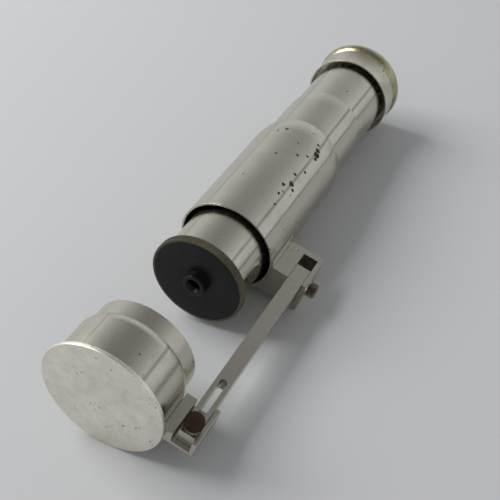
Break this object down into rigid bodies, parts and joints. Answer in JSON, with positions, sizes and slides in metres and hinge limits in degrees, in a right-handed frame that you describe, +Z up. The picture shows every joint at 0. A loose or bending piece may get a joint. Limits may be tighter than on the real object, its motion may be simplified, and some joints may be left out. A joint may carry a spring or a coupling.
{
  "type": "pocket telescope",
  "caption": "Small plated pocket telescope: an optical tube slides in a stepped sleeve, with a folding square arm at the side that carries a drum-shaped foot.",
  "frame": {"origin": "centre of the objective ring's front mouth, on the optical axis", "axes": "+Y along the optical axis the way the telescope looks, +Z up as it lies on a table, +X towards the folding arm"},
  "size_m": [0.046, 0.1717, 0.0356],
  "materials": {
    "nickel": "polished, lightly worn nickel plate",
    "nickel_matt": "dull, patchy nickel plate",
    "nickel_screw": "worn nickel plate with brass showing",
    "brass_dark": "dark tarnished brass",
    "brass": "tarnished knurled brass",
    "black_enamel": "satin black enamel",
    "black_brass": "matt black lacquer",
    "lens_glass": "clear polished glass"
  },
  "bodies": {
    "sleeve": {"sleeve": "nickel", "clevis_saddle": "nickel", "clevis": "nickel", "pivot_washer": "nickel"},
    "optics": {"main_tube": "nickel", "objective_ring": "nickel", "objective_cell": "black_brass", "objective_flint_lens": "lens_glass", "objective_crown_lens": "lens_glass", "objective_retainer": "black_brass", "erector_tube": "black_brass", "erector_collars": "black_brass", "erector_lenses": "lens_glass", "erector_stop": "black_brass"},
    "eyepiece": {"eyepiece_collar": "brass", "eyepiece_face": "black_enamel", "eye_boss": "black_enamel", "eyepiece_barrel": "black_brass", "eye_lens": "lens_glass", "field_lens": "lens_glass", "eyepiece_lens_rings": "black_brass", "field_stop": "black_brass"},
    "pivot_screw": {"pivot_screw": "nickel_screw"},
    "arm": {"arm_bar": "nickel"},
    "foot": {"foot_disc": "nickel_matt", "foot_drum": "nickel", "foot_collar": "nickel", "foot_bracket": "nickel", "foot_washer": "nickel", "foot_nut": "nickel"},
    "foot_screw": {"foot_screw": "brass_dark"}
  },
  "joints": [
    {"name": "tube_slide", "type": "slide", "parent": "sleeve", "child": "optics", "axis": [0, 1, 0], "range_m": [-0.0255, 0.0146]},
    {"name": "eyepiece_turn", "type": "hinge", "parent": "optics", "child": "eyepiece", "pos_m": [0, -0.12055, 0], "axis": [0, -1, 0], "range_deg": [0, 360]},
    {"name": "arm_fold", "type": "hinge", "parent": "sleeve", "child": "arm", "pos_m": [0.02166, -0.1028, -0.00714], "axis": [-0.9563, 0, 0.2924], "range_deg": [0, 122]},
    {"name": "pivot_screw_turn", "type": "hinge", "parent": "sleeve", "child": "pivot_screw", "pos_m": [0.02567, -0.1028, -0.00837], "axis": [0.9563, 0, -0.2924], "range_deg": [0, 360]},
    {"name": "foot_slide", "type": "slide", "parent": "arm", "child": "foot", "axis": [0, 1, 0], "range_m": [0, 0.0158]},
    {"name": "foot_screw_turn", "type": "hinge", "parent": "foot", "child": "foot_screw", "pos_m": [0.02262, -0.1647, -0.00399], "axis": [0.2924, 0, 0.9563], "range_deg": [0, 360]}
  ]
}
